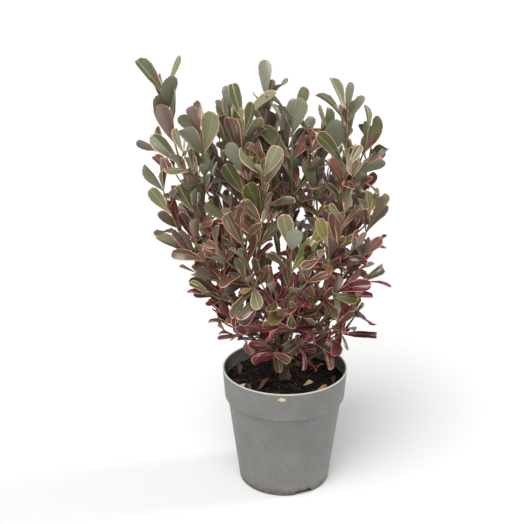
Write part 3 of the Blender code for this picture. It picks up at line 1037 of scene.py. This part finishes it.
def leafTemplate():
    # Upper side in five strips, underside in four, drawn together at the stalk and the tip.
    # Columns stand at 0.2, 0.6 and 1 each side of the rib, below at 0.5 and 1.
    blade, margin, rib, underside = [
        leafParts.index(part) for part in ("blade_one", "margin", "rib", "underside")
    ]
    rows = len(leaves["rows"]) - 1
    shape = bmesh.new()
    bmesh.ops.create_grid(shape, x_segments=5, y_segments=rows, size=1.0)
    for face in shape.faces:
        middle = face.calc_center_median()
        if abs(middle.x) > 0.7 or middle.y > 1 - 2 / rows:
            face.material_index = margin
        else:
            face.material_index = rib if abs(middle.x) < 0.1 else blade
    upper = set(shape.verts)
    bmesh.ops.create_grid(shape, x_segments=4, y_segments=rows, size=1.0)
    lower = [v for v in shape.verts if v not in upper]
    under = [f for f in shape.faces if all(v in lower for v in f.verts)]
    bmesh.ops.reverse_faces(shape, faces=under)
    for face in under:
        face.material_index = underside
    for vert in lower:
        if abs(vert.co.x) < 0.9:
            vert.co.z = -1.0
    for end in (-1.0, 1.0):
        row = [v for v in shape.verts if abs(v.co.y - end) < 0.01]
        bmesh.ops.pointmerge(shape, verts=row, merge_co=(0.0, end, 0.0))
    bmesh.ops.remove_doubles(shape, verts=shape.verts, dist=0.001)
    mesh = bpy.data.meshes.new("leaf_template")
    shape.to_mesh(mesh)
    shape.free()
    return mesh


def halfWidth(share):
    # Obovate: a long taper from the stalk to a broad round end. 0.554 is the curve's peak.
    return max(share, 0.0) ** 1.1 * math.sqrt(max(1 - share**3, 0.0)) / 0.554


def columnOffset(vert, reach):
    # How far from the midrib a template column lies: edge, underside, margin's inside, rib
    column = abs(vert.co.x)
    if column > 0.9:
        return reach
    if vert.co.z < -0.5:
        return column * reach
    if column > 0.5:
        return max(reach - leaves["margin"], leaves["marginShare"] * reach)
    return min(leaves["rib"], leaves["ribShare"] * reach) if column > 0.1 else 0.0


def addLeaf(shape, template, place, form, tint):
    # The template, shaped: rolled across, rippled at its edges, twisted and curled along
    root, direction, face, length = place
    width, roll, curl, wave, phase, twist = form
    shape.from_mesh(template)
    shape.verts.ensure_lookup_table()
    shape.faces.ensure_lookup_table()
    basis = Matrix((direction.cross(face), direction, face)).transposed()
    half = width * length / 2
    bend = roll / half
    curve = curl if abs(curl) > leaves["flattest"] else leaves["flattest"]
    rows = leaves["rows"]
    for vert in shape.verts[-len(template.vertices):]:
        share = rows[round((vert.co.y + 1) / 2 * (len(rows) - 1))]
        reach = max(half * halfWidth(share), leaves["stalk"] / 2 if share < 1 else 0.0)
        offset = columnOffset(vert, reach)
        turn = offset * bend
        sideways = math.copysign(math.sin(turn) / bend, vert.co.x)
        lift = (1 - math.cos(turn)) / bend
        beat = leaves["ripples"] * share + phase + (leaves["otherSide"] if vert.co.x > 0 else 0)
        lift += wave * math.sin(roundTurn * beat) * (offset / half) ** 2
        if vert.co.z < -0.5:
            lift -= leaves["thickness"]
        lean = curve * share
        spun = twist * share
        sideways, lift = (
            sideways * math.cos(spun) - lift * math.sin(spun),
            sideways * math.sin(spun) + lift * math.cos(spun),
        )
        y = length * math.sin(lean) / curve + lift * math.sin(lean)
        z = -length * (1 - math.cos(lean)) / curve + lift * math.cos(lean)
        vert.co = root + basis @ Vector((sideways, y, z))
    for item in shape.faces[-len(template.polygons):]:
        if item.material_index == 0:
            item.material_index = tint


def chooseKind(height, luck):
    # The nearest two heights' shares, mixed, then one kind drawn
    shares = [
        between([(level, row[k]) for level, row in kindShares], height)
        for k in range(len(leafKinds))
    ]
    draw = luck.random() * sum(shares)
    for kind, share in zip(leafKinds, shares):
        draw -= share
        if draw <= 0:
            return kind
    return "bronze"


def leafForm(kind, luck):
    look = leafKinds[kind]
    return (
        luck.uniform(*look["width"]),
        luck.uniform(*look["roll"]) * luck.choice(leaves["rollWays"]),
        luck.uniform(*look["curl"]),
        look["wave"] * luck.uniform(*leaves["waveShare"]),
        luck.random(),
        luck.uniform(-leaves["twist"], leaves["twist"]),
    )


def facing(root, tangent, direction, stray):
    # The upper side looks along the shoot, outwards and up, turned a little at random
    along, outward, up = habit["facing"]
    radial = Vector((root.x - between(crown["shift"], root.z), root.y, 0.0)).normalized()
    wanted = tangent * along + radial * outward + Vector((0.0, 0.0, up))
    face = (wanted - direction * wanted.dot(direction)).normalized()
    return Matrix.Rotation(stray, 3, direction) @ face


def growLeaf(spot, luck, young, free, shapes, template):
    # One leaf, unless it would leave the outline or touch the peat
    root, tangent, turn, lean, low, size = spot
    swing = luck.uniform(-habit["stray"], habit["stray"]) * (2 if young else 1)
    out = across(tangent, turn + swing)
    tilt = lean * luck.uniform(*habit["leanVary"]) * (habit["youngLean"] if young else 1.0)
    direction = tangent * math.cos(tilt) + out * math.sin(tilt)
    direction.z -= habit["droop"] * low * luck.uniform(*habit["droopVary"])
    direction.normalize()
    stray = luck.uniform(-habit["faceStray"], habit["faceStray"])
    face = facing(root, tangent, direction, stray)
    blade = size * luck.uniform(*habit["sizeVary"])
    blade *= luck.uniform(*habit["youngSize"]) if young else 1.0
    kind = chooseKind(root.z + luck.uniform(-habit["kindStray"], habit["kindStray"]), luck)
    form = leafForm(kind, luck)
    tint = luck.randrange(3)
    if not free and not inCrown(root + blade * direction):
        return 0
    if root.z + blade * direction.z < peat["centre"] + habit["peatGap"]:
        return 0
    addLeaf(shapes[kind], template, (root, direction, face, blade), form, tint)
    return 1


def growShoot(line, luck, first, free, shapes, template, small):
    # Opposite pairs up a shoot, each with its young leaves in the joint
    length = lineLength(line)
    distance = first
    turn = luck.uniform(0, math.pi)
    least, rise, start, span = habit["sizes"]
    droopRange = habit["droopTop"] - habit["droopBottom"]
    grown = 0
    while distance < length + habit["past"]:
        share = min(distance / length, 1.0)
        root, tangent = pointOn(line, min(distance, length - habit["tipGap"]))
        low = min(max((habit["droopTop"] - root.z) / droopRange, 0.0), 1.0)
        lean = habit["lean"] + low * (habit["lowLean"] - habit["lean"])
        lean *= 1.0 - habit["tipLean"] * share
        size = habit["length"] * small * (1.0 - habit["lowShrink"] * low)
        size *= between(habit["growth"], root.z)
        size *= least + rise * math.sin(math.pi * min(start + span * share, 1.0))
        for side in (0, 1):
            spot = (root, tangent, turn + side * math.pi, lean, low, size)
            for young in (False, True):
                if young and luck.random() > habit["young"]:
                    continue
                grown += growLeaf(spot, luck, young, free, shapes, template)
        turn += math.pi / 2 + luck.uniform(-habit["turnStray"], habit["turnStray"])
        distance += between(habit["spacing"], root.z) * luck.uniform(*habit["spacingVary"])
    return grown


def zoneOf(tipHeight):
    lowest, highest = zoneHeights
    if tipHeight < lowest:
        return "wine"
    return "sage" if tipHeight > highest else "bronze"


def zoneNodes(kind):
    # The masses that a kind of leaf stands for, by the height of their tips
    return ["foliage_" + name for name, row in sprays.items() if zoneOf(row[3]) == kind]


def growCrown(mains, template):
    # Twigs, twiglets and leaves by the same rule as the solids, carried further
    shapes = {kind: bmesh.new() for kind in leafKinds}
    wood = bmesh.new()
    grown = 0
    for number, (name, row) in enumerate(sprays.items()):
        main = mains[name]
        sides = sideLines(main, row[5], random.Random(twigs["sideSeed"] + number))
        fine = random.Random(twigs["fineSeed"] + number)
        lines = [("main", main)] + [("side", side) for side in sides]
        for parent in sides + [main]:
            for extra in sideLines(parent, 1, fine):
                lines.append(("twiglet", spacedLine(extra, twigs["twigletSpacing"])))
        free = name == habit["free"]
        for order, line in lines:
            thick, small = twigs["orders"][order]
            joinInto(wood, twigTube(line, thick))
            # A main shoot stays bare for twice as far
            first = habit["first"] * (2 if order == "main" else 1)
            grown += growShoot(line, fine, first, free, shapes, template, small)
    print("leaves grown:", grown)
    finish("young_twigs", wood, [barkMaterial("twig_bark")])
    for kind, shape in shapes.items():
        look = leafKinds[kind]
        colours = list(look["blades"]) + [look["margin"], look["rib"], look["under"]]
        looks = [
            leafMaterial(f"{kind}_leaf_{part}", colour, look["rough"])
            for part, colour in zip(leafParts, colours)
        ]
        finish("leaves_" + kind, shape, looks, zoneNodes(kind), sharp=80)


litter = {
    "seed": 77,
    "kinds": ("#d0bd8c", "#b0905c", "#5e402a", "#b88f84", "#e0dccf"),
    # azimuth, radius, length, width, turn, colour, curl
    "bits": (
        (-40, 0.036, 0.013, 0.010, 20, 0, -0.15),
        (-48, 0.060, 0.026, 0.010, 38, 1, -0.45),
        (-150, 0.058, 0.012, 0.010, 60, 0, -0.10),
        (-128, 0.040, 0.024, 0.017, 35, 2, -0.70),
        (-136, 0.058, 0.020, 0.006, 110, 2, -0.50),
        (-99, 0.061, 0.025, 0.012, 165, 3, -0.30),
        (-78, 0.062, 0.011, 0.0022, 130, 4, -0.05),
        (-12, 0.060, 0.014, 0.006, 80, 2, -0.60),
        (28, 0.046, 0.018, 0.008, 10, 1, -0.40),
        (75, 0.055, 0.015, 0.009, 250, 2, -0.70),
        (120, 0.050, 0.012, 0.007, 300, 3, -0.35),
        (165, 0.057, 0.019, 0.008, 95, 2, -0.55),
    ),
    "rise": 0.12,
    "tilt": 0.3,
    "lift": 0.0030,
    "roll": 0.9,
    "wave": 0.0006,
    "twist": 0.4,
    "rough": 0.7,
    "scrap": (-94, 0.1415, 0.010, 0.0065, 0),  # azimuth, height, length, width, colour
    "scrapGap": 0.0007,
    "scrapRise": 0.15,
    "scrapForm": (-0.3, 0.15, 0.0003, 0.2, 0.1),  # roll, curl, wave, phase, twist
}


def dropBit(shape, template, middle, direction, face, length, form, tint):
    # A leaf in one colour, laid with its middle at a place
    direction = direction.normalized()
    face = (face - direction * face.dot(direction)).normalized()
    count = len(shape.faces)
    place = (middle - direction * length / 2, direction, face, length)
    addLeaf(shape, template, place, form, tint)
    for item in shape.faces[count:]:
        item.material_index = tint


def dropLitter(template):
    # Dead leaves and one pale splinter on the peat, and the scrap stuck to the collar
    shape = bmesh.new()
    luck = random.Random(litter["seed"])
    tilt, twist = litter["tilt"], litter["twist"]
    for azimuth, radius, length, width, turn, tint, curl in litter["bits"]:
        angle, heading = math.radians(azimuth), math.radians(turn)
        x, y = radius * math.cos(angle), radius * math.sin(angle)
        middle = Vector((x, y, peatHeight(x, y) + litter["lift"]))
        direction = Vector((math.cos(heading), math.sin(heading), litter["rise"]))
        face = Vector((luck.uniform(-tilt, tilt), luck.uniform(-tilt, tilt), 1.0))
        form = (width / length, litter["roll"], curl, litter["wave"])
        form += (luck.random(), luck.uniform(-twist, twist))
        dropBit(shape, template, middle, direction, face, length, form, tint)
    azimuth, height, length, width, tint = litter["scrap"]
    angle = math.radians(azimuth)
    radius = pot["collarFoot"] + collarSlope() * (height - collarStep()) + litter["scrapGap"]
    out = Vector((math.cos(angle), math.sin(angle), 0.0))
    middle = radius * out + Vector((0, 0, height))
    direction = Vector((-out.y, out.x, litter["scrapRise"]))
    form = (width / length,) + litter["scrapForm"]
    dropBit(shape, template, middle, direction, out, length, form, tint)
    looks = [
        leafMaterial(f"dead_leaf_{number}", colour, litter["rough"])
        for number, colour in enumerate(litter["kinds"], 1)
    ]
    finish("fallen_bits", shape, looks, sharp=80)


layFloor()
hangLights()
setCamera()
print("studio ready")
makePot()
makePeat()
print("pot and peat ready")
mains = growLimbs()
print("trunk and boughs ready")
leafMesh = leafTemplate()
growCrown(mains, leafMesh)
dropLitter(leafMesh)
bpy.data.meshes.remove(leafMesh)
print("crown and litter ready")

bpy.context.view_layer.update()
